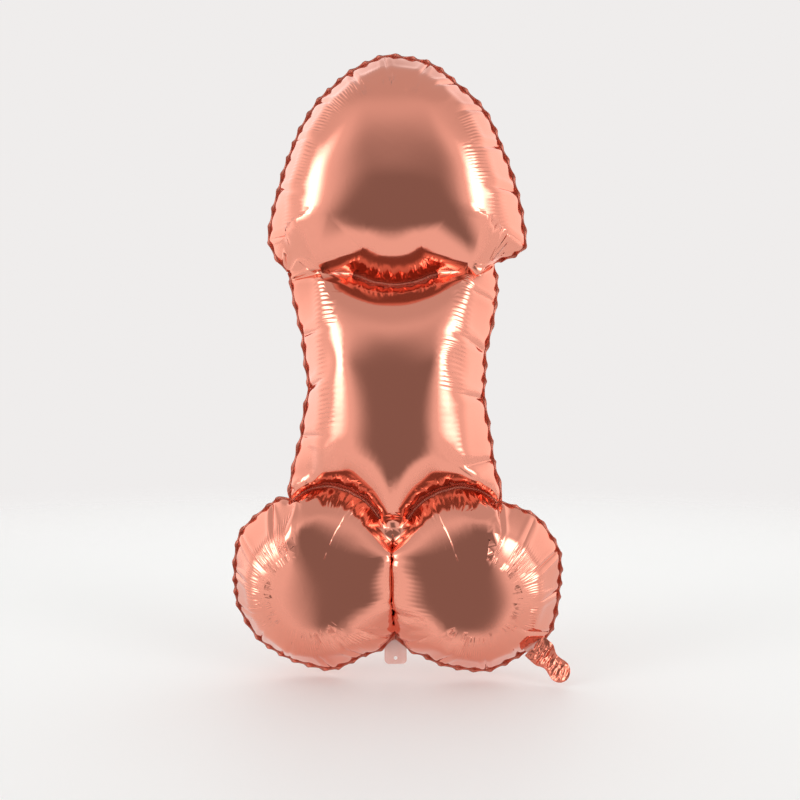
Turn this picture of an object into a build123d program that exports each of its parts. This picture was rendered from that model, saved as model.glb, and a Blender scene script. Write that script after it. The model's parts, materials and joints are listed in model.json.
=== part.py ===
from build123d import *
from math import cos, pi, radians, sin, sqrt
import os

# A large free-standing foil balloon, inflated: a tall head chamber over a shaft chamber over two
# round lobes. The film's seam lies in the XZ plane, the front faces -Y and +Z is up.
# The origin is on the table, midway between the lobes. Lengths are in millimetres.

# Film and welds. The real film is about 0.04 mm, so the walls here are a thicker stand-in.
wall = 0.8  # film wall of the inflated sheets
flange_width = 5.0  # welded band outside the seam line
weld_thickness = 1.2  # two sheets welded together
chamber_gap = 5.0  # width of the welded arcs between shaft and lobes
seam_clearance = 0.02  # between the rim's weld and the lobes' film

# Lobes
lobe_half_width = 108.0
lobe_half_height = 117.0
lobe_half_depth = 79.0
lobe_x = 116.0
lobe_z = lobe_half_height + flange_width

# Shaft, from the point between the lobes to the weld below the head
shaft_bottom = 166.0
shaft_lower_end = 256.0  # below this the shaft narrows to its point
shaft_upper_end = 538.0  # above this it rounds in to the weld
shaft_top = 549.0
shaft_half_width = 132.0
shaft_waist = 12.0  # how far each side draws in at mid height
shaft_half_depth = 78.0
shaft_depth_fullness = 0.7

# Head
head_bottom = 553.0
head_top = 846.0
head_shoulder = 606.0  # height of the widest point
head_half_width = 166.0
head_half_depth = 89.0
head_fullness = 0.35  # how square the underside is
head_taper = 1.4  # how pointed the upper part is
head_deepest = 672.0  # height of the greatest depth

# Open passages that let air through beside the welds: place, length, width and ends
neck_x = 93.0
neck_size = (70.0, 56.0)
neck_ends = (515.0, 592.0)
outer_x = 108.0
outer_size = (48.0, 32.0)
outer_ends = (225.0, 268.0)
inner_z = 188.0
inner_size = (40.0, 16.0)
inner_reach = 40.0

# Web and ribbon tab, hanging between the lobes
web_half_width = 16.0
web_shoulder = 160.0  # above this the web is wider, to fill the corner under the shaft
web_top = 182.0
web_top_half_width = 24.0
tab_fold_z = 51.0
fold_clearance = 0.3  # from a welded edge to the fold line
fold_gap = 1.0  # from the fold line to the piece that swings
tab_width = 30.0
tab_length = 31.0
tab_corner = 6.0
tab_thickness = 1.0
hole_radius = 2.5
hole_from_end = 8.0

# Inflation tail, on the right lobe's lower right
tail_parameter = radians(-44.0)  # place on the lobe's outline
tail_lean = 28.0  # the table turns the tail this far towards the front
tail_length = 46.0
tail_root_half = 18.0
tail_waist_half = 12.5
tail_belly_half = 15.0
tail_film = 0.5
tail_gap = 0.1

# Valve films, from the fold to the inside of the lobe
film_thickness = 0.25
film_gap = 0.04
film_half_width = 13.0
film_inside = 84.0
slot_clearance = 0.1

section_count = 15
end_angle = radians(86.0)  # the lofts stop this near their poles
round_limit = 0.97  # a section's depth stays under this share of its width


def section_heights(bottom, top):
    """Heights bunched towards both ends, so that the lofted domes are round."""
    middle, half = (top + bottom) / 2, (top - bottom) / 2
    shares = [2 * i / (section_count - 1) - 1 for i in range(section_count)]
    return [middle + half * sin(end_angle * share) for share in shares]


def dome(height, centre, below, above, power=1.0):
    """Share of the full size left at a height, from 1 at the centre to 0 at both ends."""
    reach = above if height > centre else below
    return sqrt(max(0.0, 1 - ((height - centre) / reach) ** 2)) ** power


def head_section(z):
    """Half width and half depth of the head at a height."""
    power = head_taper if z > head_shoulder else head_fullness
    width = dome(z, head_shoulder, head_shoulder - head_bottom, head_top - head_shoulder, power)
    depth = dome(z, head_deepest, head_deepest - head_bottom, head_top - head_deepest)
    return head_half_width * width, head_half_depth * depth


def shaft_section(z):
    """Half width and half depth of the shaft at a height."""
    side_z = min(max(z, shaft_lower_end), shaft_upper_end)
    draw = shaft_waist * sin(pi * (side_z - shaft_lower_end) / (shaft_upper_end - shaft_lower_end))
    end = dome(z - side_z, 0.0, shaft_lower_end - shaft_bottom, shaft_top - shaft_upper_end)
    half_height, middle = (shaft_top - shaft_bottom) / 2, (shaft_top + shaft_bottom) / 2
    depth = dome(z, middle, half_height, half_height, shaft_depth_fullness)
    return (shaft_half_width - draw) * end, shaft_half_depth * depth


def chamber(bottom, top, section, grow):
    """A closed pillow, lofted through ellipses, with every surface moved outwards by grow."""
    with BuildPart() as pillow:
        for z in section_heights(bottom, top):
            half_width, half_depth = section(z)
            half_depth = min(half_depth, round_limit * half_width)
            share = (z - bottom) / (top - bottom)
            with BuildSketch(Plane.XY.offset(z + grow * (2 * share - 1))):
                radii = (half_width + grow, half_depth + grow)
                with BuildLine():
                    for start in (90, 270):
                        EllipticalCenterArc((0, 0), *radii, start, arc_size=180)
                make_face()
        loft(ruled=True)
    return pillow.part


def lobes(grow):
    """Both lobes, as balls stretched to three radii."""
    radii = (lobe_half_width + grow, lobe_half_depth + grow, lobe_half_height + grow)
    ball = scale(Rotation(90, 0, 0) * Sphere(1), by=radii)
    return [Pos(side * lobe_x, 0, lobe_z) * ball for side in (-1, 1)]


def passages(grow):
    """Short ducts between the chambers, whose ends lie inside the chambers they join."""
    with BuildPart() as ducts:
        for x, size, ends, turn in ((neck_x, neck_size, neck_ends, 0), (outer_x, outer_size, outer_ends, 90)):
            with BuildSketch(Plane.XY.offset(ends[0])):
                with Locations((-x, 0), (x, 0)):
                    SlotOverall(size[0] + 2 * grow, size[1] + 2 * grow, rotation=turn)
            extrude(amount=ends[1] - ends[0])
        with BuildSketch(Plane.YZ):
            with Locations((0, inner_z)):
                SlotOverall(inner_size[0] + 2 * grow, inner_size[1] + 2 * grow)
        extrude(amount=inner_reach, both=True)
    return ducts.part.solids()


def envelope(grow):
    """The whole inflated form, its surface moved outwards by grow."""
    head = chamber(head_bottom, head_top, head_section, grow)
    shaft = chamber(shaft_bottom, shaft_top, shaft_section, grow)
    ducts, balls, clearance = passages(grow), lobes(grow), lobes(max(chamber_gap - grow, 0.0))
    with BuildPart() as form:
        add(shaft)
        for ball in clearance:
            add(ball, mode=Mode.SUBTRACT)
        add(head)
        for ball in balls:
            add(ball)
        for duct in ducts:
            add(duct)
    return form.part


def outline(bottom, top, section, grow):
    """A chamber's edge in the seam's plane, as corners up one side and down the other."""
    side = [
        (section(z)[0] + grow, z + grow * (2 * (z - bottom) / (top - bottom) - 1))
        for z in section_heights(bottom, top)
    ]
    return side + [(-x, z) for x, z in reversed(side)]


os.makedirs("parts", exist_ok=True)

# Where the tail is welded on: the fold line runs along the lobe's edge, just outside the flange
edge_point = Vector(
    lobe_x + lobe_half_width * cos(tail_parameter), 0, lobe_z + lobe_half_height * sin(tail_parameter)
)
outward = Vector(
    cos(tail_parameter) / lobe_half_width, 0, sin(tail_parameter) / lobe_half_height
).normalized()
fold_line = Vector(-outward.Z, 0, outward.X)
fold_point = edge_point + outward * (flange_width + fold_clearance)
tail_way = outward * cos(radians(tail_lean)) + Vector(0, -sin(radians(tail_lean)), 0)
tail_plane = Plane(origin=fold_point, x_dir=fold_line, z_dir=fold_line.cross(tail_way))
film_plane = Plane(origin=fold_point, x_dir=fold_line, z_dir=fold_line.cross(outward))

# The slot that the valve films pass through, between the two sheets
slot_half = film_gap / 2 + film_thickness + slot_clearance
with BuildPart() as slot:
    with BuildSketch(film_plane):
        with Locations((0, -film_inside / 2)):
            Rectangle(2 * (film_half_width + slot_clearance), film_inside)
    extrude(amount=slot_half, both=True)

outer = envelope(0)
inner = envelope(-wall)

# Everything that lies welded in the seam's plane: the form's edge, grown by the flange, less the form.
# Its largest pieces are the rim and the three seals between the chambers.
with BuildPart() as seam_plate:
    with BuildSketch(Plane.XZ):
        for bottom, top, section in (
            (head_bottom, head_top, head_section), (shaft_bottom, shaft_top, shaft_section)
        ):
            with BuildLine():
                Polyline(*outline(bottom, top, section, flange_width), close=True)
            make_face()
        with Locations((-lobe_x, lobe_z), (lobe_x, lobe_z)):
            Ellipse(lobe_half_width + flange_width, lobe_half_height + flange_width)
        for x, width, ends in ((neck_x, neck_size[0], neck_ends), (outer_x, outer_size[1], outer_ends)):
            with Locations((-x, sum(ends) / 2), (x, sum(ends) / 2)):
                Rectangle(width + 2 * flange_width, ends[1] - ends[0])
    extrude(amount=weld_thickness / 2, both=True)
    add(outer, mode=Mode.SUBTRACT)
*seal_solids, rim_solid = seam_plate.part.solids().sort_by(SortBy.VOLUME)[-4:]

for name, kept in (("front_foil", Keep.TOP), ("back_foil", Keep.BOTTOM)):
    with BuildPart() as foil:
        add(outer)
        split(bisect_by=Plane.XZ, keep=kept)
        add(inner, mode=Mode.SUBTRACT)
        add(slot.part, mode=Mode.SUBTRACT)
    foil.part.label = name
    export_step(foil.part, f"parts/{name}.step")

# The web between the lobes fills the seam's plane from the shaft's corner down to the tab's fold
web_bottom = tab_fold_z + fold_clearance
with BuildPart() as lobe_web:
    with BuildSketch(Plane.XZ):
        for half_width, low, high in (
            (web_half_width, web_bottom, web_shoulder), (web_top_half_width, web_shoulder, web_top)
        ):
            with Locations((0, (low + high) / 2)):
                Rectangle(2 * half_width, high - low)
    extrude(amount=weld_thickness / 2, both=True)
    add(outer, mode=Mode.SUBTRACT)
lobe_web.part.label = "lobe_web"
export_step(lobe_web.part, "parts/lobe_web.step")

clear_of_lobes = lobes(seam_clearance)
with BuildPart() as rim_seam:
    add(rim_solid)
    for neighbour in (lobe_web.part, slot.part, *clear_of_lobes):
        add(neighbour, mode=Mode.SUBTRACT)
rim_seam.part.label = "rim_seam"
export_step(rim_seam.part, "parts/rim_seam.step")

# The welded bar under the head and the welded arc over each lobe
seal_names = ("left_lobe_seal", "head_seal", "right_lobe_seal")
for name, solid in zip(seal_names, ShapeList(seal_solids).sort_by(Axis.X)):
    solid.label = name
    export_step(solid, f"parts/{name}.step")

# The ribbon tab: a strip with rounded lower corners and the ribbon's hole near its free end
tab_top = tab_fold_z - fold_gap
tab_end = tab_top - tab_length
with BuildPart() as ribbon_tab:
    with BuildSketch(Plane.XZ.offset(-tab_thickness / 2)) as tab_outline:
        with Locations((0, (tab_top + tab_end) / 2)):
            Rectangle(tab_width, tab_length)
        fillet(tab_outline.vertices().group_by(Axis.Z)[0], tab_corner)
        with Locations((0, tab_end + hole_from_end)):
            Circle(hole_radius, mode=Mode.SUBTRACT)
    extrude(amount=tab_thickness)
ribbon_tab.part.label = "ribbon_tab"
export_step(ribbon_tab.part, "parts/ribbon_tab.step")

# The tail's two foils: wide at the root, waisted, then rounded at the mouth
for name, side in (("tail_front_foil", -1), ("tail_back_foil", 1)):
    with BuildPart() as tail_foil:
        with BuildSketch(tail_plane.offset(side * tail_gap / 2)):
            with BuildLine():
                mouth = (0, tail_length)
                root = (tail_root_half, fold_gap)
                waist = (tail_waist_half, 0.35 * tail_length)
                belly = (tail_belly_half, 0.68 * tail_length)
                Spline(root, waist, belly, mouth, tangents=((-1, 1), (-1, 0)))
                Spline((-root[0], root[1]), (-waist[0], waist[1]), (-belly[0], belly[1]), mouth,
                       tangents=((1, 1), (1, 0)))
                Line(root, (-root[0], root[1]))
            make_face()
        extrude(amount=side * tail_film)
    tail_foil.part.label = name
    export_step(tail_foil.part, f"parts/{name}.step")

# The valve's two films, lying together inside the lobe from the fold inwards
for name, side in (("valve_front_film", -1), ("valve_back_film", 1)):
    with BuildPart() as valve_film:
        with BuildSketch(film_plane.offset(side * film_gap / 2)):
            with Locations((0, -film_inside / 2)):
                Rectangle(2 * film_half_width, film_inside)
        extrude(amount=side * film_thickness)
    valve_film.part.label = name
    export_step(valve_film.part, f"parts/{name}.step")
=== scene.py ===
import json
import math
import random

import bpy
import numpy as np
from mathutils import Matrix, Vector, bvhtree, geometry, kdtree

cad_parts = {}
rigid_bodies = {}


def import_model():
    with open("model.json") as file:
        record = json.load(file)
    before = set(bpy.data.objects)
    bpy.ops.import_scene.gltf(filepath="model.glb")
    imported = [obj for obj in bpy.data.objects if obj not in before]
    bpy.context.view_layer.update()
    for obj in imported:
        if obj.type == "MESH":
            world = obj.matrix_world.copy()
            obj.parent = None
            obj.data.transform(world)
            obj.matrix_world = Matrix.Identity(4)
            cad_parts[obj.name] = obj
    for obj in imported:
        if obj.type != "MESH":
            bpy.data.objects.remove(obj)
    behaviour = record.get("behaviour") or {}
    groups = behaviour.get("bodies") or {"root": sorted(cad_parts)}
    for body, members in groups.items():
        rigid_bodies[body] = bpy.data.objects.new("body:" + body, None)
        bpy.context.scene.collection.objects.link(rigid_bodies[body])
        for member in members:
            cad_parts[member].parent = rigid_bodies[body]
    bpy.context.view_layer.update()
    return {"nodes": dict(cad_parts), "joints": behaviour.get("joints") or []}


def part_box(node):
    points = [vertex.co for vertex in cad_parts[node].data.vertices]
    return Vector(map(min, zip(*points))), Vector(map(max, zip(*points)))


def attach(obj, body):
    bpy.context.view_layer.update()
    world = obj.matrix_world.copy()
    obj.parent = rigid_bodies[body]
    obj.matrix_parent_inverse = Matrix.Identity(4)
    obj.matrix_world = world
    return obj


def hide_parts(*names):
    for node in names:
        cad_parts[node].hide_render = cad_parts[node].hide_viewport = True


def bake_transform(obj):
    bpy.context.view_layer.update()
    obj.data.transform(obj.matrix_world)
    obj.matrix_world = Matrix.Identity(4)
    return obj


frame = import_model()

scene = bpy.context.scene
filmLow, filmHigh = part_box("front_foil")  # the inflated film, without its welded flange


def deselectAll():
    for thing in bpy.context.view_layer.objects:
        thing.select_set(False)


def makeActive(piece):
    deselectAll()
    piece.select_set(True)
    bpy.context.view_layer.objects.active = piece


def applyModifiers(piece):
    makeActive(piece)
    for modifier in list(piece.modifiers):
        bpy.ops.object.modifier_apply(modifier=modifier.name)


def newPiece(name, points, faces):
    mesh = bpy.data.meshes.new(name)
    mesh.from_pydata([tuple(point) for point in points], [], faces)
    mesh.update()
    piece = bpy.data.objects.new(name, mesh)
    scene.collection.objects.link(piece)
    return piece


def smoothPiece(piece, levels):
    if levels:
        smooth = piece.modifiers.new("smooth", "SUBSURF")
        smooth.levels = levels
        smooth.render_levels = levels
        applyModifiers(piece)
    makeActive(piece)
    bpy.ops.object.shade_smooth()


def thicken(piece, thickness):
    wall = piece.modifiers.new("wall", "SOLIDIFY")
    wall.thickness = thickness
    wall.offset = 0.0
    applyModifiers(piece)


# Cutting pattern, in metres on the flat film. It is cut taller and wider than the inflated box,
# because film draws in as it fills.
cutting = {
    "step": 0.010,  # spacing of the lattice that is inflated
    "headWidth": 0.420,
    "headBase": 0.668,  # height of the notch below the head
    "headTop": 1.000,
    "headCorner": 0.055,  # height of the widest point above the weld
    "headFullness": 0.62,  # how round the top is
    "shaftWidth": 0.335,
    "shaftWaist": 0.318,
    "lobeSize": 0.298,
    "lobeSpacing": 0.276,
    "slitTop": 0.205,  # the weld between the lobes reaches up to here
    "slitHalf": 0.002,
    "sealHalf": 0.058,  # half length of the weld below the head
    "sealWidth": 0.0055,
    "sealDrop": 0.040,  # how far it lies below the notch
    "sealSmile": 0.008,  # how far its ends rise
    "arcFrom": 45,  # degrees round the lobe where each arc weld starts and ends
    "arcTo": 100,
    "jitter": 0.12,  # unevenness of the lattice, as a share of its step
    "seed": 3,
}


def along(points, step):
    # evenly spaced points on a run of points, ends kept
    points = [Vector((x, y)) for x, y in points]
    lengths = [0.0]
    for a, b in zip(points, points[1:]):
        lengths.append(lengths[-1] + (b - a).length)
    count = max(1, round(lengths[-1] / step))
    spaced, at = [], 0
    for i in range(count + 1):
        run = lengths[-1] * i / count
        while at < len(lengths) - 2 and lengths[at + 1] < run:
            at += 1
        share = (run - lengths[at]) / max(lengths[at + 1] - lengths[at], 1e-9)
        spaced.append(points[at].lerp(points[at + 1], share))
    return spaced


def bezier(a, b, c, d, count=80):
    corners = [Vector((x, y, 0)) for x, y in (a, b, c, d)]
    return [(p.x, p.y) for p in geometry.interpolate_bezier(*corners, count)]


def arc(centre, radius, start, end, count=160):
    angles = [math.radians(start + (end - start) * i / count) for i in range(count + 1)]
    return [(centre[0] + radius * math.cos(a), centre[1] + radius * math.sin(a)) for a in angles]


def patternEdge(c, step):
    # the right half from the notch between the lobes up to the top, then its mirror image
    radius = c["lobeSize"] / 2
    centre = (c["lobeSpacing"] / 2, radius)
    shaftX, waistX, headX = c["shaftWidth"] / 2, c["shaftWaist"] / 2, c["headWidth"] / 2
    slitAngle = 180 + math.degrees(math.acos((centre[0] - c["slitHalf"]) / radius))
    slitLow = centre[1] + radius * math.sin(math.radians(slitAngle))
    shaftAngle = math.degrees(math.acos((shaftX - centre[0]) / radius))
    shaftZ = centre[1] + radius * math.sin(math.radians(shaftAngle))
    base, top = c["headBase"], c["headTop"]
    wide = base + c["headCorner"]
    runs = [
        [(0, c["slitTop"]), (c["slitHalf"], c["slitTop"] - c["slitHalf"]), (c["slitHalf"], slitLow)],
        arc(centre, radius, slitAngle - 360, shaftAngle),
        bezier((shaftX, shaftZ), (waistX, shaftZ + 0.09), (waistX, base - 0.12), (shaftX, base)),
        bezier((shaftX, base), (shaftX + 0.02, base - 0.002), (headX, base + 0.005), (headX, wide)),
        bezier((headX, wide), (headX, wide + 0.135), (headX * c["headFullness"], top), (0, top)),
    ]
    right = []
    for run in runs:
        spaced = along(run, step)
        right += spaced[1:] if right else spaced
    left = [Vector((-p.x, p.y)) for p in reversed(right[1:-1])]
    return right + left


def bandLoop(line, half, step):
    # both sides of a line, half a width away, as one closed loop
    middle = along(line, step)
    upper, lower = [], []
    for i, p in enumerate(middle):
        way = (middle[min(i + 1, len(middle) - 1)] - middle[max(i - 1, 0)]).normalized()
        across = Vector((-way.y, way.x)) * half
        upper.append(p + across)
        lower.append(p - across)
    return upper + lower[::-1]


def patternSeals(c, step):
    # the three welds inside the edge, as closed loops of points
    half, width, base = c["sealHalf"], c["sealWidth"] / 2, c["headBase"] - c["sealDrop"]
    radius = c["lobeSize"] / 2 + 0.004
    bar = [(half * k / 10, base + c["sealSmile"] * (k / 10) ** 2) for k in range(-10, 11)]
    loops = {"head_seal": bandLoop(bar, width, step)}
    for name, side in (("right_lobe_seal", 1), ("left_lobe_seal", -1)):
        centre = (c["lobeSpacing"] / 2, c["lobeSize"] / 2)
        line = arc(centre, radius, 180 - c["arcFrom"], 180 - c["arcTo"], 20)
        loops[name] = bandLoop([(side * x, z) for x, z in line], width, step)
    return loops


def insideLoop(points, loop):
    # which of the points lie inside a closed loop
    hit = np.zeros(len(points), bool)
    for a, b in zip(loop, np.roll(loop, -1, axis=0)):
        crosses = (a[1] > points[:, 1]) != (b[1] > points[:, 1])
        rise = np.where(abs(b[1] - a[1]) < 1e-12, 1e-12, b[1] - a[1])
        hit ^= crosses & (points[:, 0] < (b[0] - a[0]) * (points[:, 1] - a[1]) / rise + a[0])
    return hit


def ease(value, low, high):
    share = np.clip((value - low) / (high - low), 0, 1)
    return share * share * (3 - 2 * share)


def nearest(points, fixed):
    # for each point, the nearest of the fixed points and how far it is
    tree = kdtree.KDTree(len(fixed))
    for i, (x, z) in enumerate(fixed):
        tree.insert((x, z, 0), i)
    tree.balance()
    found = [tree.find((x, z, 0)) for x, z in points]
    return np.array([f[1] for f in found]), np.array([f[2] for f in found])


def cutFilm(c, step, lattice):
    # the flat film as triangles. lattice(edge, loops, fixed) gives the points away from the welds
    edge = patternEdge(c, step)
    loops = patternSeals(c, step)
    points = list(edge)
    links = [(i, (i + 1) % len(edge)) for i in range(len(edge))]
    for loop in loops.values():
        first, count = len(points), len(loop)
        points += loop
        links += [(first + i, first + (i + 1) % count) for i in range(count)]
    fixed = np.array([(p.x, p.y) for p in points])
    loops = {name: np.array([(p.x, p.y) for p in loop]) for name, loop in loops.items()}
    inner = lattice(fixed[:len(edge)], loops, fixed)
    everything = points + [Vector((float(x), float(z))) for x, z in inner]
    flat, _, faces, origins, _, _ = geometry.delaunay_2d_cdt(everything, links, [], 0, 1e-7, True)
    flat = np.array([(p.x, p.y) for p in flat])
    faces = np.array([list(face) for face in faces])
    faces = faces[insideLoop(flat[faces].mean(1), fixed[:len(edge)])]
    first, second, third = flat[faces[:, 0]], flat[faces[:, 1]], flat[faces[:, 2]]
    one, other = second - first, third - first
    turned = one[:, 0] * other[:, 1] < one[:, 1] * other[:, 0]
    faces[turned] = faces[turned][:, ::-1]
    middles = flat[faces].mean(1)
    bands = {name: insideLoop(middles, loop) for name, loop in loops.items()}
    order = {o: i for i, ids in enumerate(origins) for o in ids}
    welded = np.zeros(len(flat), bool)
    welded[[order[i] for i in range(len(points))]] = True
    rim = np.array([order[i] for i in range(len(edge))])
    return {"flat": flat, "faces": faces, "bands": bands, "welded": welded, "rim": rim, "fixed": fixed}


def evenLattice(edge, loops, fixed):
    # a slightly uneven triangular lattice, which folds in no one direction
    draw = random.Random(cutting["seed"])
    step, jitter = cutting["step"], cutting["jitter"] * cutting["step"]
    columns = int(0.3 / step)
    points = np.array([
        ((k + 0.5 * (row % 2)) * step + draw.uniform(-jitter, jitter),
         row * step * 0.866 + draw.uniform(-jitter, jitter))
        for row in range(int(1.05 / (step * 0.866)))
        for k in range(-columns, columns)
    ])
    points = points[insideLoop(points, edge)]
    for loop in loops.values():
        points = points[~insideLoop(points, loop)]
    return points[nearest(points, fixed)[1] > 0.62 * step]


print("cutting pattern")
pattern = cutFilm(cutting, cutting["step"], evenLattice)

# Inflating
inflation = {
    "frames": 45,
    "pressure": 40.0,
    "tension": 120.0,
    "compression": 0.5,  # low, so that the film folds rather than shortens
    "bending": 0.001,
    "damping": 5.0,
    "mass": 0.02,
    "airDamping": 2.0,
    "bendingDamping": 0.1,
    "quality": 6,
    "startSlope": 0.35,  # how steeply the two sheets are parted before the air goes in
    "startReach": 0.08,
    "calming": 14,  # passes that take out the folds no wider than the lattice
}


def inflate(p, settings):
    # two sheets, sharing their welded points, are blown up by the Cloth modifier
    flat, faces, welded = p["flat"], p["faces"], p["welded"]
    depth = settings["startSlope"] * np.minimum(nearest(flat, p["fixed"])[1], settings["startReach"]) + 0.001
    depth[welded] = 0.0
    loose = np.flatnonzero(~welded)
    backIndex = np.arange(len(flat))
    backIndex[loose] = len(flat) + np.arange(len(loose))
    front = np.column_stack([flat[:, 0], -depth, flat[:, 1]])
    back = np.column_stack([flat[loose, 0], depth[loose], flat[loose, 1]])
    inBand = np.any(list(p["bands"].values()), axis=0)
    sheets = faces.tolist() + backIndex[faces[~inBand][:, ::-1]].tolist()
    skin = newPiece("skin", np.vstack([front, back]), sheets)
    cloth = skin.modifiers.new("air", "CLOTH")
    film = cloth.settings
    film.quality = settings["quality"]
    film.mass = settings["mass"]
    film.air_damping = settings["airDamping"]
    film.tension_stiffness = settings["tension"]
    film.compression_stiffness = settings["compression"]
    film.shear_stiffness = settings["compression"]
    film.bending_stiffness = settings["bending"]
    film.tension_damping = settings["damping"]
    film.compression_damping = settings["damping"]
    film.shear_damping = settings["damping"]
    film.bending_damping = settings["bendingDamping"]
    film.use_pressure = True
    film.uniform_pressure_force = settings["pressure"]
    film.effector_weights.gravity = 0
    cloth.collision_settings.use_collision = False
    cloth.point_cache.frame_start = 1
    cloth.point_cache.frame_end = settings["frames"]
    scene.frame_start, scene.frame_end = 1, settings["frames"]
    for number in range(1, settings["frames"] + 1):
        scene.frame_set(number)
    applyModifiers(skin)
    scene.frame_set(1)
    shape = np.array([point.co for point in skin.data.vertices], float)
    pairs = np.array([edge.vertices[:] for edge in skin.data.edges])
    bpy.data.objects.remove(skin)
    return calmed(shape, pairs, p["rim"], settings["calming"]), backIndex


def calmed(shape, pairs, rim, passes):
    # smooths without shrinking; the rim is smoothed along itself only
    onRim = np.zeros(len(shape), bool)
    onRim[rim] = True
    pairs = pairs[~onRim[pairs].any(1)]
    ring = np.column_stack([rim, np.roll(rim, -1)])
    reach = np.vstack([pairs, ring])
    links = np.bincount(reach.ravel(), minlength=len(shape))[:, None]
    for strength in [0.5, -0.53] * passes:
        total = np.zeros_like(shape)
        np.add.at(total, reach[:, 0], shape[reach[:, 1]])
        np.add.at(total, reach[:, 1], shape[reach[:, 0]])
        shape = shape + strength * (total / np.maximum(links, 1) - shape) * (links > 0)
    return shape


print("inflating", len(pattern["flat"]), "points a sheet")
filled, backIndex = inflate(pattern, inflation)

# The filled form is scaled to the CAD's film box on each axis. It comes out of the simulation about
# a tenth too deep and a twenty-fifth too short, so this is more than a trim.
low, high = filled.min(0), filled.max(0)
fitX = (filmHigh.x - filmLow.x) / (high[0] - low[0])
fitZ = (filmHigh.z - filmLow.z) / (high[2] - low[2])
print("inflated size", (high - low).round(4), "fit", round(fitX, 3), round(fitZ, 3))
fitY = np.where(filled[:, 1] < 0, filmLow.y / low[1], -filmLow.y / high[1])
filled = (filled - [(low[0] + high[0]) / 2, 0, low[2]]) * [fitX, 1, fitZ]
filled[:, 1] *= fitY
filled += [(filmLow.x + filmHigh.x) / 2, 0, filmLow.z]

contact = {
    "low": 0.096,  # the lobes are pressed together between these heights
    "high": 0.192,
    "soft": 0.024,
    "pressAgain": 0.012,
    "press": 0.016,  # how far each would reach past the middle if the other were not there
    "reach": 0.090,  # how far from the middle the film is shifted
}


def pressed(points, rimLoop, c):
    # moves points so that the lobes meet and are flat there; the contact isn't simulated
    inner = rimLoop[(np.abs(rimLoop[:, 0]) < 0.06) & (rimLoop[:, 2] < c["high"])]
    order = np.argsort(inner[:, 2])
    gap = np.interp(points[:, 2], inner[order, 2], np.abs(inner[order, 0]))
    zone = ease(points[:, 2], c["low"] - c["soft"], c["low"] + c["soft"])
    zone *= 1 - ease(points[:, 2], c["high"] - c["soft"], c["high"] + 0.3 * c["soft"])
    shift = (np.minimum(gap, 0.03) + c["press"]) * zone
    away = np.abs(points[:, 0])
    moved = away - shift * (1 - ease(away - shift, 0.0, c["reach"]))
    result = points.copy()
    result[:, 0] = np.sign(points[:, 0]) * np.where(zone > 0.02, np.maximum(moved, 0.0004), away)
    return result


filled = pressed(filled, filled[pattern["rim"]], contact)

# The film itself, cut again from the same pattern with rows close enough to carry its gathers
gathers = {
    "step": 0.00125,  # spacing along the welds
    "rows": [
        0.003, 0.008, 0.014, 0.020, 0.026, 0.032, 0.038, 0.044, 0.050, 0.056, 0.062, 0.069, 0.077, 0.086, 0.096,
    ],
    "middleStep": 0.0065,  # spacing away from the welds
    "band": 0.050,  # width of the flat facets along the rim
    "bandLean": 0.008,  # how far its inner edge is drawn towards the middle
    "flatness": 0.85,  # how flat they are pulled
    "facetGap": (0.060, 0.084),
    "ribSpacing": 0.0060,
    "ribHeight": 0.00042,
    "creaseLength": (0.068, 0.090),
    "creaseDepth": (0.0018, 0.0032),
    "ribFrom": (0.042, 0.052),
    "ribLength": (0.018, 0.036),
    "notch": 0.0018,  # how far the edge draws in at a crease
    "sealGap": (0.014, 0.024),  # the creases beside the inner welds stand closer and are shorter
    "sealScale": 0.42,
    "seed": 21,
}


def rowLattice(edge, loops, fixed):
    # rows of points parallel to every weld, and a plain lattice in between
    parts = []
    for loop, inward in ((edge, 1), *((loop, -1) for loop in loops.values())):
        way = np.roll(loop, -1, axis=0) - np.roll(loop, 1, axis=0)
        way /= np.linalg.norm(way, axis=1)[:, None]
        across = np.column_stack([-way[:, 1], way[:, 0]]) * inward
        area = np.sum(loop[:, 0] * np.roll(loop[:, 1], -1) - np.roll(loop[:, 0], -1) * loop[:, 1])
        across *= np.sign(area)
        for row in gathers["rows"]:
            points = loop + across * row
            parts.append(points[nearest(points, fixed)[1] > 0.93 * row])
    step, clear = gathers["middleStep"], gathers["rows"][-1] + 0.5 * gathers["middleStep"]
    columns = int(0.25 / step)
    middle = np.array([
        ((k + 0.5 * (row % 2)) * step, row * step * 0.866)
        for row in range(int(1.02 / (step * 0.866)))
        for k in range(-columns, columns)
    ])
    parts.append(middle[nearest(middle, fixed)[1] > clear])
    points = np.vstack(parts)
    points = points[insideLoop(points, edge)]
    for loop in loops.values():
        points = points[~insideLoop(points, loop)]
    return points


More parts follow.
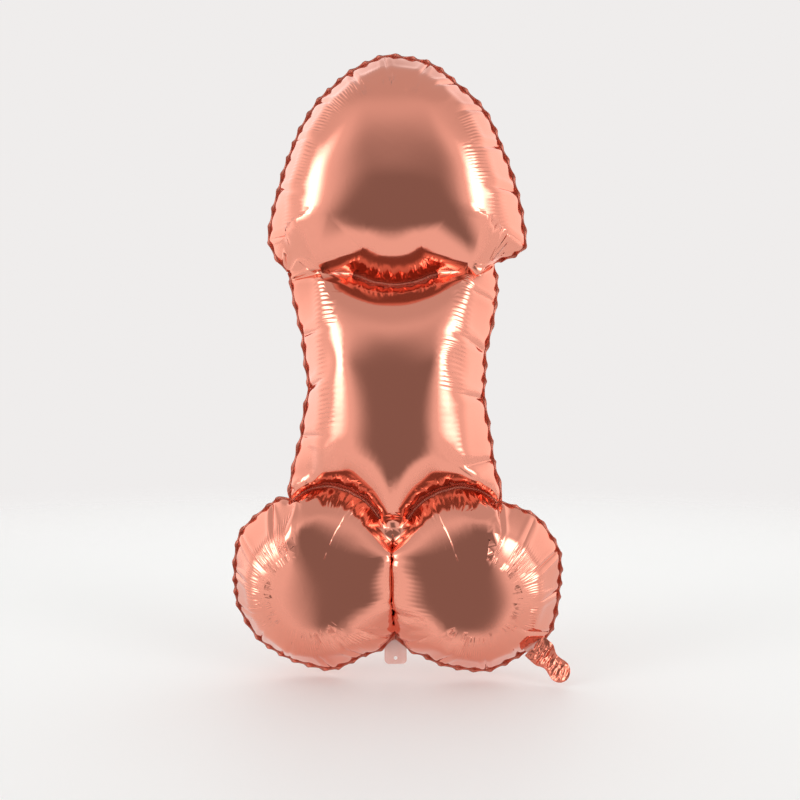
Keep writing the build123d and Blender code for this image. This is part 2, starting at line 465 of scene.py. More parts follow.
def sheetShape(p, points, placed):
    # where points of the flat film lie on one filled sheet
    sheet = newPiece("sheet", placed, p["faces"].tolist())
    layer = sheet.data.uv_layers.new(name="flat")
    corners = np.array([loop.vertex_index for loop in sheet.data.loops])
    layer.data.foreach_set("uv", p["flat"][corners].ravel())
    smoothPiece(sheet, 2)
    mesh = sheet.data
    flatAt = np.zeros((len(mesh.vertices), 3))
    corners = np.array([loop.vertex_index for loop in mesh.loops])
    uvs = np.empty(len(mesh.loops) * 2)
    mesh.uv_layers["flat"].data.foreach_get("uv", uvs)
    flatAt[corners, :2] = uvs.reshape(-1, 2)
    mesh.calc_loop_triangles()
    triangles = [triangle.vertices[:] for triangle in mesh.loop_triangles]
    tree = bvhtree.BVHTree.FromPolygons([Vector(p) for p in flatAt], triangles)
    at = [Vector(point) for point in flatAt]
    to = [point.co.copy() for point in mesh.vertices]
    halves = []
    for way in (1, -1):
        found = []
        for x, z in points:
            spot = Vector((way * x, z, 0))
            a, b, c = triangles[tree.find_nearest(spot)[2]]
            found.append(geometry.barycentric_transform(spot, at[a], at[b], at[c], to[a], to[b], to[c]))
        halves.append(np.array(found, float) * [way, 1, 1])
    bpy.data.objects.remove(sheet)
    return (halves[0] + halves[1]) / 2  # both cuttings are the same left and right


def creasePlan(g, length, seed, gap):
    # the creases along one weld: place, skew, length and depth, and the ribs up to the next one
    draw = random.Random(seed)
    plan, run = [], draw.uniform(0, gap[0])
    while run < length - 0.6 * gap[0]:
        plan.append({
            "run": run,
            "skew": draw.uniform(-0.16, 0.16),
            "length": draw.uniform(*g["creaseLength"]),
            "depth": draw.uniform(*g["creaseDepth"]),
            "ribs": draw.choice((0.0, 0.3, 0.8, 1.0, 1.0)),
            "ribFrom": draw.uniform(*g["ribFrom"]),
            "ribLength": draw.uniform(*g["ribLength"]),
        })
        run += draw.uniform(*gap)
    return plan


def gatherHeight(g, run, gap, length, plan, scale=1.0):
    # how far the film stands out from its smooth form, for points at a run along and a gap from a weld
    height = np.zeros(len(run))
    for crease, after in zip(plan, plan[1:] + plan[:1]):
        offset = (run - crease["run"] - crease["skew"] * gap + length / 2) % length - length / 2
        width = 0.0024 + 0.030 * gap
        end = scale * crease["length"]
        along = ease(gap, 0.0, 0.010) * (1 - ease(gap, 0.5 * end, end))
        height -= crease["depth"] * scale * along * np.exp(-np.abs(offset) / width)
        height += 0.3 * crease["depth"] * scale * along * np.exp(-((np.abs(offset) / width - 3.2) / 1.6) ** 2)
        ahead = (run - crease["run"] - crease["skew"] * gap) % length
        span = (after["run"] - crease["run"]) % length
        middle = ease(ahead, 0.0, 0.006) * (1 - ease(ahead, span - 0.006, span))
        first, last = scale * crease["ribFrom"], scale * (crease["ribFrom"] + crease["ribLength"])
        reach = ease(gap, first - 0.004, first + 0.004) * (1 - ease(gap, last - 0.006, last + 0.006))
        turns = 2 * math.pi * ahead / g["ribSpacing"] + 0.9 * np.sin(ahead * 160 + crease["run"] * 70)
        height += g["ribHeight"] * crease["ribs"] * middle * reach * np.sin(turns)
    return height


def meshNormals(points, triangles):
    a, b, c = (points[triangles[:, k]] for k in range(3))
    across = np.cross(b - a, c - a)
    normals = np.zeros_like(points)
    for k in range(3):
        np.add.at(normals, triangles[:, k], across)
    return normals / np.maximum(np.linalg.norm(normals, axis=1), 1e-12)[:, None]


print("close-rowed film")
film = cutFilm(cutting, gathers["step"], rowLattice)
flat, rim = film["flat"], film["rim"]
rimClosed = np.vstack([flat[rim], flat[rim[:1]]])
rimRun = np.concatenate([[0], np.cumsum(np.linalg.norm(np.diff(rimClosed, axis=0), axis=1))])
rimLength, rimRun = rimRun[-1], rimRun[:-1]
closestRim, rimGap = nearest(flat, film["fixed"][:len(rim)])
sealPoints = film["fixed"][len(rim):]
closestSeal, sealGap = nearest(flat, sealPoints)
sealRun = np.arange(len(sealPoints)) * gathers["step"]
rimPlan = creasePlan(gathers, rimLength, gathers["seed"], gathers["facetGap"])
inBand = np.any(list(film["bands"].values()), axis=0)
openFaces = film["faces"][~inBand]


def facetted(g, placed, run, gap, plan):
    # pulls the band along the rim flat between one crease and the next
    tree = kdtree.KDTree(len(flat))
    for i, (x, z) in enumerate(flat):
        tree.insert((x, z, 0), i)
    tree.balance()
    starts = np.array([crease["run"] for crease in plan])
    corners = []
    for start in starts:
        i = int(np.argmin(np.abs(rimRun - start)))
        x, z = flat[rim[i]] + flatIn[i] * g["band"]
        corners.append((placed[rim[i]], placed[tree.find((x, z, 0))[1]]))
    corners = np.array(corners)
    k = (np.searchsorted(starts, run, side="right") - 1) % len(starts)
    after = (k + 1) % len(starts)
    t = (((run - starts[k]) % rimLength) / ((starts[after] - starts[k]) % rimLength))[:, None]
    s = (gap / g["band"])[:, None]
    outer = corners[k, 0] * (1 - t) + corners[after, 0] * t
    inner = corners[k, 1] * (1 - t) + corners[after, 1] * t
    facet = outer * (1 - s) + inner * s
    pull = g["flatness"] * (1 - ease(gap, 0.75 * g["band"], 1.35 * g["band"]))
    pull = pull * ease(sealGap, 0.010, 0.040) * awayFromCleft
    return placed + (facet - placed) * pull[:, None]


def filmSheet(name, placed, side):
    # one sheet of film with its creases and ribs
    triangles = openFaces if side < 0 else openFaces[:, ::-1]
    run, gap = rimRun[closestRim], rimGap
    lean = ease(gap, 0.0, gathers["band"]) * (1 - ease(gap, gathers["band"], 2.4 * gathers["band"]))
    lean *= gathers["bandLean"] * ease(sealGap, 0.02, 0.06) * awayFromCleft
    placed = placed + inwardAt[closestRim] * lean[:, None]
    placed = facetted(gathers, placed, run, gap, rimPlan)
    placed = pressed(placed, rimLoop, {**contact, "press": contact["pressAgain"]})
    normals = meshNormals(placed, triangles)
    height = gatherHeight(gathers, run, gap, rimLength, rimPlan) * (1 - ease(gap - sealGap, 0.0, 0.012))
    sealPlan = creasePlan(gathers, sealRun[-1], gathers["seed"] + 5 + side, gathers["sealGap"])
    nearSeal = gatherHeight(gathers, sealRun[closestSeal], sealGap, sealRun[-1], sealPlan, gathers["sealScale"])
    height += nearSeal * (1 - ease(sealGap - gap, 0.0, 0.012))
    points = placed + normals * height[:, None]
    # the welded edge draws in at each crease
    for crease in rimPlan:
        offset = (run - crease["run"] + rimLength / 2) % rimLength - rimLength / 2
        draw = gathers["notch"] * np.exp(-np.abs(offset) / 0.010) * np.exp(-gap / 0.014) * awayFromCleft
        points += inwardAt[closestRim] * draw[:, None]
    used = np.unique(triangles)
    place = np.full(len(points), -1)
    place[used] = np.arange(len(used))
    piece = newPiece(name, points[used], place[triangles].tolist())
    layer = piece.data.uv_layers.new(name="seamMap")
    corners = used[np.array([loop.vertex_index for loop in piece.data.loops])]
    nearer = np.where(rimGap < sealGap, run, sealRun[closestSeal])
    uvs = np.column_stack([nearer[corners], np.minimum(rimGap, sealGap)[corners]])
    layer.data.foreach_set("uv", uvs.ravel())
    smoothPiece(piece, 0)
    return piece, points


frontPlaced = sheetShape(pattern, flat, filled[:len(pattern["flat"])])
backPlaced = sheetShape(pattern, flat, filled[backIndex])
shared = (frontPlaced + backPlaced) / 2
blendIn = (1 - ease(np.minimum(rimGap, sealGap), 0.0, 0.003))[:, None]
frontPlaced += (shared - frontPlaced) * blendIn
backPlaced += (shared - backPlaced) * blendIn
rimLoop = frontPlaced[rim]
rimWay = np.roll(rimLoop, -1, axis=0) - np.roll(rimLoop, 1, axis=0)
rimOut = np.column_stack([rimWay[:, 2], np.zeros(len(rim)), -rimWay[:, 0]])
rimOut /= np.linalg.norm(rimOut, axis=1)[:, None]
inwardAt = -rimOut
flatWay = np.roll(flat[rim], -1, axis=0) - np.roll(flat[rim], 1, axis=0)
flatIn = np.column_stack([-flatWay[:, 1], flatWay[:, 0]]) / np.linalg.norm(flatWay, axis=1)[:, None]
# the facets leave out the cleft, where the lobes press on each other
closestAt = rimLoop[closestRim]
awayFromCleft = np.where(closestAt[:, 2] < 0.2, ease(np.abs(closestAt[:, 0]), 0.012, 0.060), 1.0)
print("film pieces")
frontFoil, frontPoints = filmSheet("frontFoil", frontPlaced, -1)
backFoil, backPoints = filmSheet("backFoil", backPlaced, 1)


def sealBand(name, band):
    # the welded film inside one of the seals
    triangles = film["faces"][band]
    used = np.unique(triangles)
    place = np.full(len(flat), -1)
    place[used] = np.arange(len(used))
    piece = newPiece(name + "_band", shared[used], place[triangles].tolist())
    thicken(piece, 0.0006)
    smoothPiece(piece, 0)
    return piece


sealPieces = {name: sealBand(name, band) for name, band in film["bands"].items()}

flange = {
    "width": 0.0047,
    "rows": 3,
    "waveLength": 0.027,
    "tilt": 34.0,  # degrees that it cockles forwards and back
    "scallop": 0.5,  # how much narrower it looks between two cockles
    "thickness": 0.0004,
    "every": 2,  # takes one rim point in this many
    "unevenness": 0.22,
    "tucked": 0.3,  # its width in the cleft, where the lobes press it flat
    "seed": 8,
}


def rimFlange(f):
    # the welded band outside the seam line, cockled because the edge has drawn in
    loop, outward = frontPoints[rim][::f["every"]], rimOut[::f["every"]]
    count = len(loop)
    turns = round(rimLength / f["waveLength"])
    draw = random.Random(f["seed"])
    drift = np.cumsum([draw.uniform(-f["unevenness"], f["unevenness"]) for _ in range(count)])
    drift -= np.linspace(0, drift[-1], count)
    phase = 2 * math.pi * turns * np.arange(count) / count + drift
    tilt = math.radians(f["tilt"]) * np.sin(phase)[:, None]
    width = f["width"] * (1 - f["scallop"] * np.cos(phase / 2) ** 2)
    inCleft = (np.abs(loop[:, 0]) < 0.022) & (loop[:, 2] < 0.2) & (loop[:, 2] > 0.07)
    width *= np.where(inCleft, f["tucked"], 1.0)
    rows = []
    for row in range(f["rows"] + 1):
        share = row / f["rows"]
        lean = tilt * min(1.0, 1.6 * share)
        rows.append(loop + width[:, None] * share * (outward * np.cos(lean) + [[0, 1, 0]] * np.sin(lean)))
    quads = []
    for row in range(f["rows"]):
        for i in range(count):
            j = (i + 1) % count
            quads.append([row * count + i, row * count + j, (row + 1) * count + j, (row + 1) * count + i])
    piece = newPiece("rimFlange", np.vstack(rows), quads)
    thicken(piece, f["thickness"])
    smoothPiece(piece, 0)
    return piece


rimPiece = rimFlange(flange)

webLow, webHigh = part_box("lobe_web")
tabLow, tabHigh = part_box("ribbon_tab")
web = {
    "top": 0.112,
    "topWidth": 0.010,
    "pleats": 5,
    "pleatDepth": 0.0060,
    "thickness": 0.0004,
    "seed": 5,
}


def pleatedWeb(w):
    # the welded film between the lobes, gathered at the top and fanned out at the tab
    bottom, width = webLow.z, webHigh.x - webLow.x
    deselectAll()
    bpy.ops.mesh.primitive_grid_add(x_subdivisions=40, y_subdivisions=30, size=1.0)
    fan = bpy.context.object
    fan.name = "lobeWeb"
    draw = random.Random(w["seed"])
    leans = [draw.uniform(-0.6, 0.6) for _ in range(w["pleats"])]
    for point in fan.data.vertices:
        across, down = point.co.x + 0.5, 0.5 - point.co.y
        pleat = min(int(across * w["pleats"]), w["pleats"] - 1)
        fold = math.sin(2 * math.pi * (across * w["pleats"] + 0.25 * leans[pleat] * down))
        spread = w["topWidth"] + (width - w["topWidth"]) * down ** 1.6
        crease = 1 - 0.75 * down
        x = (across - 0.5) * spread + 0.0012 * math.sin(9 * down + 5 * across)
        z = w["top"] + (bottom - w["top"]) * down
        point.co = (x, w["pleatDepth"] * fold * crease * min(1.0, 6 * (1 - down) + 0.15), z)
    thicken(fan, w["thickness"])
    smoothPiece(fan, 1)
    return fan


tab = {
    "columns": 24,
    "rows": 26,
    "corner": 0.006,
    "hole": 0.0025,
    "holeUp": 0.008,
    "thickness": 0.0007,
    "curl": 0.0015,
}


def clearTab(t):
    # a rounded strip of clear film with the ribbon's hole; its top is tucked into the web
    top, bottom = webLow.z + 0.003, tabLow.z
    half = (tabHigh.x - tabLow.x) / 2
    edge = [(-half, top), (half, top)]
    corner = t["corner"]
    edge += arc((half - corner, bottom + corner), corner, 0, -90, 8)
    edge += arc((-half + corner, bottom + corner), corner, -90, -180, 8)
    hole = arc((0, bottom + t["holeUp"]), t["hole"], 0, 360, 24)[:-1]
    points = [Vector(p) for p in edge + hole]
    links = [(i, (i + 1) % len(edge)) for i in range(len(edge))]
    links += [(len(edge) + i, len(edge) + (i + 1) % len(hole)) for i in range(len(hole))]
    grid = [
        (-half + (i + 0.5) * 2 * half / t["columns"], bottom + (k + 0.5) * (top - bottom) / t["rows"])
        for i in range(t["columns"])
        for k in range(t["rows"])
    ]
    grid = np.array(grid)
    edgeArray, holeArray = np.array(edge), np.array(hole)
    grid = grid[insideLoop(grid, edgeArray) & ~insideLoop(grid, holeArray)]
    grid = grid[nearest(grid, np.vstack([edgeArray, holeArray]))[1] > 0.0006]
    points += [Vector((float(x), float(z))) for x, z in grid]
    flatTab, _, tabFaces, _, _, _ = geometry.delaunay_2d_cdt(points, links, [], 0, 1e-8, True)
    flatTab = np.array([(p.x, p.y) for p in flatTab])
    middles = np.array([flatTab[list(face)].mean(0) for face in tabFaces])
    kept = insideLoop(middles, edgeArray) & ~insideLoop(middles, holeArray)
    curl = [t["curl"] * math.sin(220 * x) * (top - z) / (top - bottom) for x, z in flatTab]
    body = np.column_stack([flatTab[:, 0], curl, flatTab[:, 1]])
    piece = newPiece("ribbonTab", body, [list(face)[::-1] for face, keep in zip(tabFaces, kept) if keep])
    thicken(piece, t["thickness"])
    makeActive(piece)
    bpy.ops.object.shade_smooth_by_angle(angle=math.radians(40))
    return piece


tailFold = next(joint for joint in frame["joints"] if joint["name"] == "tail_fold")
foldPoint, foldAxis = Vector(tailFold["pos_m"]), Vector(tailFold["axis"]).normalized()
tail = {
    "inside": 0.016,  # how far its root is tucked between the lobe's sheets
    "length": 0.046,
    "lean": 28.0,
    "rootHalf": 0.0185,
    "waistHalf": 0.0125,
    "bellyHalf": 0.0150,
    "across": 28,
    "along": 48,
    "loft": 0.0030,  # half the thickness of the air left in it
    "crumple": 0.0011,
    "thickness": 0.0003,
    "waves": 9,
    "waveRange": (120, 520),
    "seed": 11,
}


def tailWidth(t, run):
    # half the tail's width at a distance past the fold
    share = max(run, 0.0) / t["length"]
    if share < 0.35:
        blend = 0.5 - 0.5 * math.cos(math.pi * share / 0.35)
        return t["rootHalf"] + (t["waistHalf"] - t["rootHalf"]) * blend
    if share < 0.68:
        blend = 0.5 - 0.5 * math.cos(math.pi * (share - 0.35) / 0.33)
        return t["waistHalf"] + (t["bellyHalf"] - t["waistHalf"]) * blend
    return t["bellyHalf"] * math.sqrt(max(1 - ((share - 0.68) / 0.325) ** 2, 0.02))


def tailFoil(t, name, side):
    # one crumpled sheet of the tail, from between the lobe's sheets to the mouth
    outward = Vector((foldAxis.z, 0, -foldAxis.x))
    lean = math.radians(t["lean"])
    draw = random.Random(t["seed"])
    waves = [
        (
            draw.uniform(*t["waveRange"]), draw.uniform(*t["waveRange"]),
            draw.uniform(0, 6.28), draw.uniform(0.4, 1.0),
        )
        for _ in range(t["waves"])
    ]
    points, uvs = [], []
    for k in range(t["along"] + 1):
        run = -t["inside"] + (t["inside"] + t["length"]) * k / t["along"]
        turn = lean * min(max((run + 0.004) / 0.008, 0.0), 1.0)
        way = outward * math.cos(turn) + Vector((0, -math.sin(turn), 0))
        back = foldAxis.cross(way)
        middle = foldPoint + (outward * run if run < 0 else way * run)
        half = tailWidth(t, run)
        for i in range(t["across"] + 1):
            across = 2 * i / t["across"] - 1
            v = across * half
            crumple = sum(a * math.sin(p * v + q * run + s) for p, q, s, a in waves) / 4
            ends = min(1.0, max(0.0, (t["length"] - run) / 0.006), (run + t["inside"]) / 0.01)
            edge = 1 - abs(across) ** 3
            lift = t["loft"] * edge * (0.35 + 0.65 * ends) * (0.7 + 0.3 * math.sin(140 * run))
            lift += 0.4 * t["crumple"] * edge * math.sin(900 * run + 3 * across)
            points.append(middle + foldAxis * v + back * (side * (lift + 0.00018) + t["crumple"] * crumple))
            uvs.append((run, v))
    faceList = []
    wide = t["across"] + 1
    for k in range(t["along"]):
        for i in range(t["across"]):
            a = k * wide + i
            faceList.append([a, a + 1, a + wide + 1, a + wide])
    if side < 0:
        faceList = [face[::-1] for face in faceList]
    piece = newPiece(name, points, faceList)
    layer = piece.data.uv_layers.new(name="seamMap")
    corners = [loop.vertex_index for loop in piece.data.loops]
    layer.data.foreach_set("uv", np.array([uvs[i] for i in corners]).ravel())
    thicken(piece, t["thickness"])
    smoothPiece(piece, 1)
    return piece


print("web, tab and tail")
webPiece = pleatedWeb(web)
tabPiece = clearTab(tab)
tailPieces = [tailFoil(tail, "tailFrontFoil", -1), tailFoil(tail, "tailBackFoil", 1)]


def nodeGroup(name, inputs, outputs):
    group = bpy.data.node_groups.new(name, "ShaderNodeTree")
    for label, value in inputs:
        socket = group.interface.new_socket(name=label, in_out="INPUT", socket_type="NodeSocketFloat")
        socket.default_value = value
    for label, kind in outputs:
        group.interface.new_socket(name=label, in_out="OUTPUT", socket_type=kind)
    return group, group.nodes.new("NodeGroupInput"), group.nodes.new("NodeGroupOutput")


def maths(tree, operation, *values):
    node = tree.nodes.new("ShaderNodeMath")
    node.operation = operation
    for socket, value in zip(node.inputs, values):
        if isinstance(value, (int, float)):
            socket.default_value = value
        else:
            tree.links.new(value, socket)
    return node.outputs[0]


def smoothStep(tree, value, low, high, fromValue=0.0, toValue=1.0):
    node = tree.nodes.new("ShaderNodeMapRange")
    node.interpolation_type = "SMOOTHSTEP"
    tree.links.new(value, node.inputs["Value"])
    node.inputs["From Min"].default_value = low
    node.inputs["From Max"].default_value = high
    node.inputs["To Min"].default_value = fromValue
    node.inputs["To Max"].default_value = toValue
    return node.outputs["Result"]


def noise(tree, vector, scale, detail=2.0):
    node = tree.nodes.new("ShaderNodeTexNoise")
    tree.links.new(vector, node.inputs["Vector"])
    node.inputs["Scale"].default_value = scale
    node.inputs["Detail"].default_value = detail
    return node.outputs["Fac"]


def filmCreases():
    # faint sharp creases and the slight unevenness of drawn film
    group, source, target = nodeGroup("filmCreases", [("Scale", 60.0), ("Amount", 0.3)],
                                      [("Height", "NodeSocketFloat")])
    coordinates = group.nodes.new("ShaderNodeTexCoord").outputs["Object"]
    cells = group.nodes.new("ShaderNodeTexVoronoi")
    cells.feature = "DISTANCE_TO_EDGE"
    group.links.new(coordinates, cells.inputs["Vector"])
    group.links.new(source.outputs["Scale"], cells.inputs["Scale"])
    ridge = smoothStep(group, cells.outputs["Distance"], 0.0, 0.12, 1.0, 0.0)
    broad = noise(group, coordinates, 9.0, 3.0)
    fine = noise(group, coordinates, 160.0, 2.0)
    sharp = maths(group, "MULTIPLY", ridge, maths(group, "MULTIPLY", source.outputs["Amount"], broad))
    total = maths(group, "ADD", sharp, maths(group, "MULTIPLY", fine, 0.12))
    group.links.new(total, target.inputs["Height"])
    return group


def weldPattern():
    # the fine cross-hatch that a heated bar leaves in a weld
    group, source, target = nodeGroup("weldPattern", [("Pitch", 0.0016)], [("Height", "NodeSocketFloat")])
    parts = group.nodes.new("ShaderNodeSeparateXYZ")
    coordinates = group.nodes.new("ShaderNodeTexCoord").outputs["Object"]
    group.links.new(coordinates, parts.inputs["Vector"])
    heights = []
    for sign in (1, -1):
        slant = maths(group, "ADD", parts.outputs["X"], maths(group, "MULTIPLY", parts.outputs["Z"], sign))
        turns = maths(group, "DIVIDE", slant, source.outputs["Pitch"])
        heights.append(maths(group, "SINE", maths(group, "MULTIPLY", turns, 2 * math.pi)))
    group.links.new(maths(group, "MAXIMUM", *heights), target.inputs["Height"])
    return group


def toneDrift():
    # slow, slight change of colour over the metallised coat
    group, source, target = nodeGroup("toneDrift", [("Scale", 6.0)], [("Drift", "NodeSocketFloat")])
    coordinates = group.nodes.new("ShaderNodeTexCoord").outputs["Object"]
    texture = group.nodes.new("ShaderNodeTexNoise")
    group.links.new(coordinates, texture.inputs["Vector"])
    group.links.new(source.outputs["Scale"], texture.inputs["Scale"])
    group.links.new(texture.outputs["Fac"], target.inputs["Drift"])
    return group


effects = {"creases": filmCreases(), "weld": weldPattern(), "drift": toneDrift()}


def addEffect(tree, effect, **values):
    node = tree.nodes.new("ShaderNodeGroup")
    node.node_tree = effects[effect]
    for label, value in values.items():
        node.inputs[label].default_value = value
    return node


def mixedColour(tree, factor, first, second):
    node = tree.nodes.new("ShaderNodeMix")
    node.data_type = "RGBA"
    tree.links.new(factor, node.inputs["Factor"])
    node.inputs["A"].default_value = first
    node.inputs["B"].default_value = second
    return node.outputs["Result"]


def bump(tree, height, distance, strength=1.0, before=None):
    node = tree.nodes.new("ShaderNodeBump")
    node.inputs["Distance"].default_value = distance
    node.inputs["Strength"].default_value = strength
    tree.links.new(height, node.inputs["Height"])
    if before is not None:
        tree.links.new(before, node.inputs["Normal"])
    return node.outputs["Normal"]


def metalFilm(name, light, dark, roughness):
    material = bpy.data.materials.new(name)
    material.use_nodes = True
    tree = material.node_tree
    shader = tree.nodes["Principled BSDF"]
    shader.inputs["Metallic"].default_value = 1.0
    shader.inputs["Roughness"].default_value = roughness
    drift = addEffect(tree, "drift", Scale=5.0)
    tree.links.new(mixedColour(tree, drift.outputs["Drift"], dark, light), shader.inputs["Base Color"])
    return material, tree, shader


def foilMaterial():
    material, tree, shader = metalFilm("roseGoldFilm", (0.885, 0.355, 0.262, 1), (0.85, 0.325, 0.232, 1), 0.10)
    creases = addEffect(tree, "creases", Scale=38.0, Amount=0.10)
    tree.links.new(bump(tree, creases.outputs["Height"], 0.0004, 0.25), shader.inputs["Normal"])
    return material


def weldAndShadeMaterial():
    # darker than the foil: partly the weld's own duller tone, partly painted shade for the flange, seals and
    # web, which lie under and between the inflated film
    material, tree, shader = metalFilm("weldedFilmAndShade", (0.60, 0.20, 0.145, 1), (0.42, 0.11, 0.075, 1), 0.26)
    weld = addEffect(tree, "weld")
    creases = addEffect(tree, "creases", Scale=90.0, Amount=0.6)
    normal = bump(tree, creases.outputs["Height"], 0.0006, 0.6)
    tree.links.new(bump(tree, weld.outputs["Height"], 0.00012, 0.7, normal), shader.inputs["Normal"])
    return material


def tailMaterial():
    material, tree, shader = metalFilm("crumpledFilm", (0.80, 0.27, 0.19, 1), (0.66, 0.17, 0.11, 1), 0.17)
    creases = addEffect(tree, "creases", Scale=95.0, Amount=1.0)
    tree.links.new(bump(tree, creases.outputs["Height"], 0.0008, 0.6), shader.inputs["Normal"])
    return material


def pinkLitClearMaterial():
    material = bpy.data.materials.new("pinkLitClearFilm")
    material.use_nodes = True
    tree = material.node_tree
    shader = tree.nodes["Principled BSDF"]
    shader.inputs["Roughness"].default_value = 0.32
    shader.inputs["IOR"].default_value = 1.5
    shader.inputs["Alpha"].default_value = 0.62
    drift = addEffect(tree, "drift", Scale=60.0)
    # the pink of this clear film is painted light: the rose-gold foil's light reflected in it and seen through
    # it
    tree.links.new(mixedColour(tree, drift.outputs["Drift"], (0.80, 0.42, 0.35, 1), (0.90, 0.60, 0.54, 1)),
                   shader.inputs["Base Color"])
    creases = addEffect(tree, "creases", Scale=150.0, Amount=0.8)
    tree.links.new(bump(tree, creases.outputs["Height"], 0.0005, 0.6), shader.inputs["Normal"])
    return material


def finishWith(piece, material):
    piece.data.materials.clear()
    piece.data.materials.append(material)


print("materials")
foilFinish, weldAndShadeFinish, tailFinish, pinkLitClearFinish = foilMaterial(), weldAndShadeMaterial(), tailMaterial(), pinkLitClearMaterial()
for piece in (frontFoil, backFoil):
    finishWith(piece, foilFinish)
# the flange, web and seals take the darker weld colour, which is partly painted shade
for piece in (rimPiece, webPiece, *sealPieces.values()):
    finishWith(piece, weldAndShadeFinish)
for piece in tailPieces:
    finishWith(piece, tailFinish)
finishWith(tabPiece, pinkLitClearFinish)
# the valve films take the same painted pink light
for node in ("valve_front_film", "valve_back_film"):
    finishWith(frame["nodes"][node], pinkLitClearFinish)

# What each piece rides on: the film pieces ride on the balloon, the tail and tab pieces are baked in place; each
# hides the CAD part it stands in for
for piece, node in (
    (frontFoil, "front_foil"), (backFoil, "back_foil"), (rimPiece, "rim_seam"), (webPiece, "lobe_web"),
    *((band, name) for name, band in sealPieces.items()),
):
    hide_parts(node)
    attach(piece, "balloon")
for piece, node in zip(tailPieces, ("tail_front_foil", "tail_back_foil")):
    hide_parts(node)
    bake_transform(piece)
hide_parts("ribbon_tab")
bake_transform(tabPiece)

studio = {
    "floorRadius": 3.6,
    "floorRoughness": 0.6,
    "floorFade": (0.9, 3.2),  # the floor melts into the backdrop between these distances
    "tableEdge": (0.05, 0.14),  # beyond this the film mirrors the room, not the floor
    "floorColour": (0.850, 0.865, 0.865, 1),
    "floorGlow": 0.07,  # a faint light of its own, so that the floor comes out as pale as the backdrop
    "backdrop": (0.865, 0.845, 0.838, 1),
    "walls": (0.98, 0.96, 0.95, 1),
    "wallBehind": (1.34, 1.31, 1.29, 1),
    "ceiling": (0.66, 0.64, 0.63, 1),
    "ceilingHeight": (22.0, 60.0),
    "room": (0.27, 0.25, 0.24, 1),  # the unlit room behind the camera
    "roomWidth": (12.0, 33.0),  # degrees from straight ahead where it starts to lighten, and ends
    "roomHeight": (12.0, 46.0),
    "roomFoot": (-55.0, -38.0),
    "boxPlace": (53.0, 14.0),  # degrees round and up
    "boxSize": (11.0, 14.0),
    "boxEdge": 9.0,
    "boxStrength": 5.0,
    "distance": 1.30,
    "eyeHeight": 0.376,
    "azimuth": 5.0,
    "aimX": 0.006,
    "field": 45.2,
    "sensor": 36.0,
}


def pointAt(thing, target):
    thing.rotation_euler = (Vector(target) - thing.location).to_track_quat("-Z", "Y").to_euler()


def paleFloor(s):
    # pale, and fading out at a distance; what the film mirrors of it in front is the room beyond
    deselectAll()
    bpy.ops.mesh.primitive_circle_add(vertices=96, radius=s["floorRadius"], fill_type="NGON", location=(0, 0, 0))
    floor = bpy.context.object
    floor.name = "floor"
    material = bpy.data.materials.new("paleFloor")
    material.use_nodes = True
    tree = material.node_tree
    shader = tree.nodes["Principled BSDF"]
    shader.inputs["Roughness"].default_value = s["floorRoughness"]
    parts = tree.nodes.new("ShaderNodeSeparateXYZ")
    coordinates = tree.nodes.new("ShaderNodeTexCoord").outputs["Object"]
    tree.links.new(coordinates, parts.inputs["Vector"])
    x, y, _ = parts.outputs
    distance = tree.nodes.new("ShaderNodeVectorMath")
    distance.operation = "LENGTH"
    tree.links.new(coordinates, distance.inputs[0])
    away = distance.outputs["Value"]
    ahead = smoothStep(tree, maths(tree, "DIVIDE", maths(tree, "MULTIPLY", y, -1.0), away), 0.35, 0.85)
    beyond = maths(tree, "MULTIPLY", smoothStep(tree, away, *s["tableEdge"]), ahead)
    mirrored = tree.nodes.new("ShaderNodeLightPath").outputs["Is Glossy Ray"]
    factor = maths(tree, "MULTIPLY", beyond, mirrored)
    shader.inputs["Base Color"].default_value = s["floorColour"]
    shader.inputs["Emission Color"].default_value = (0.9, 1.0, 1.0, 1)
    shader.inputs["Emission Strength"].default_value = s["floorGlow"]
    fade = smoothStep(tree, away, *s["floorFade"], 1.0, 0.0)
    tree.links.new(maths(tree, "MULTIPLY", fade, maths(tree, "SUBTRACT", 1.0, factor)), shader.inputs["Alpha"])
    finishWith(floor, material)


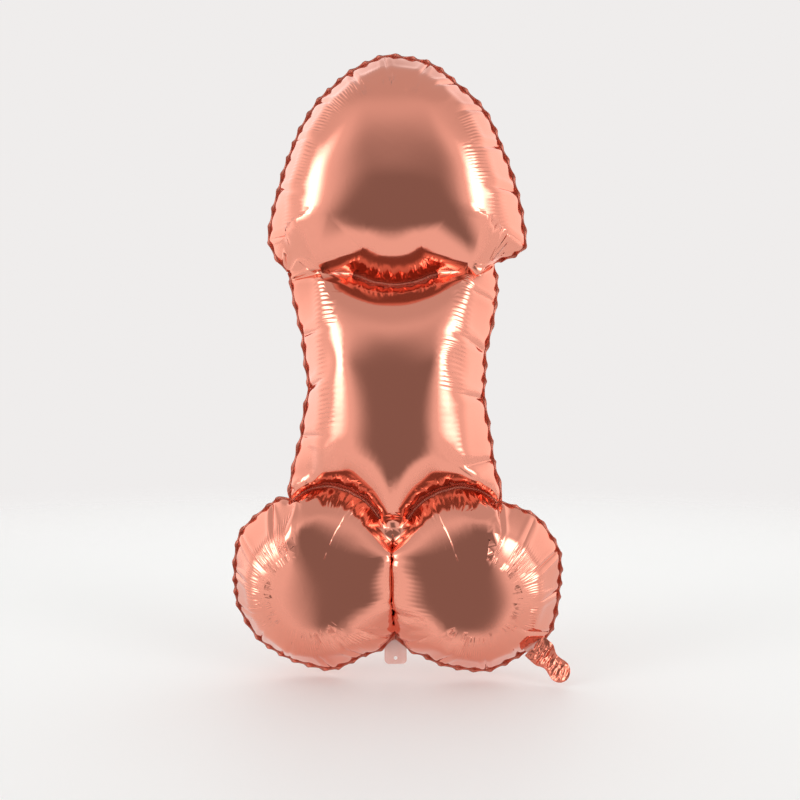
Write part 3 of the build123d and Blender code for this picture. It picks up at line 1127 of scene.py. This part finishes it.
def studioLight(s):
    # the surrounding that the film mirrors, painted by direction: bright walls, a quieter ceiling,
    # the dim room ahead and two large soft boxes
    world = bpy.data.worlds.new("room")
    world.use_nodes = True
    scene.world = world
    tree = world.node_tree
    parts = tree.nodes.new("ShaderNodeSeparateXYZ")
    tree.links.new(tree.nodes.new("ShaderNodeTexCoord").outputs["Generated"], parts.inputs["Vector"])
    x, y, z = parts.outputs
    toDegrees = 180 / math.pi
    around = maths(tree, "MULTIPLY", maths(tree, "ARCTAN2", x, maths(tree, "MULTIPLY", y, -1.0)), toDegrees)
    aside = maths(tree, "ABSOLUTE", around)
    rise = maths(tree, "MULTIPLY", maths(tree, "ARCSINE", z), toDegrees)
    overhead = smoothStep(tree, rise, *s["ceilingHeight"])
    room = maths(tree, "MULTIPLY", smoothStep(tree, aside, *s["roomWidth"], 1.0, 0.0),
                 smoothStep(tree, rise, *s["roomHeight"], 1.0, 0.0))
    room = maths(tree, "MULTIPLY", room, smoothStep(tree, rise, *s["roomFoot"]))
    boxAside = maths(tree, "ABSOLUTE", maths(tree, "SUBTRACT", aside, s["boxPlace"][0]))
    boxRise = maths(tree, "ABSOLUTE", maths(tree, "SUBTRACT", rise, s["boxPlace"][1]))
    boxes = maths(
        tree, "MULTIPLY",
        smoothStep(tree, boxAside, s["boxSize"][0] - s["boxEdge"], s["boxSize"][0] + s["boxEdge"], 1.0, 0.0),
        smoothStep(tree, boxRise, s["boxSize"][1] - s["boxEdge"], s["boxSize"][1] + s["boxEdge"], 1.0, 0.0),
    )
    behind = maths(tree, "MULTIPLY", smoothStep(tree, aside, 75.0, 120.0),
                   smoothStep(tree, rise, 25.0, 60.0, 1.0, 0.0))
    colour = mixedColour(tree, overhead, s["walls"], s["ceiling"])
    for factor, paint in ((behind, s["wallBehind"]), (room, s["room"]), (boxes, (s["boxStrength"],) * 3 + (1,))):
        mix = tree.nodes.new("ShaderNodeMix")
        mix.data_type = "RGBA"
        mix.inputs["B"].default_value = paint
        tree.links.new(factor, mix.inputs["Factor"])
        tree.links.new(colour, mix.inputs["A"])
        colour = mix.outputs["Result"]
    seen = tree.nodes.new("ShaderNodeMix")
    seen.data_type = "RGBA"
    tree.links.new(tree.nodes.new("ShaderNodeLightPath").outputs["Is Camera Ray"], seen.inputs["Factor"])
    tree.links.new(colour, seen.inputs["A"])
    seen.inputs["B"].default_value = s["backdrop"]
    tree.links.new(seen.outputs["Result"], tree.nodes["Background"].inputs["Color"])


def addCamera(s):
    camera = bpy.data.objects.new("camera", bpy.data.cameras.new("camera"))
    scene.collection.objects.link(camera)
    turn = math.radians(s["azimuth"])
    camera.location = (
        s["aimX"] + s["distance"] * math.sin(turn), -s["distance"] * math.cos(turn), s["eyeHeight"]
    )
    pointAt(camera, (s["aimX"], 0, s["eyeHeight"]))
    camera.data.sensor_width = s["sensor"]
    camera.data.lens = s["sensor"] / 2 / math.tan(math.radians(s["field"] / 2))
    scene.camera = camera
    scene.view_settings.view_transform = "Standard"


print("studio")
paleFloor(studio)
studioLight(studio)
addCamera(studio)
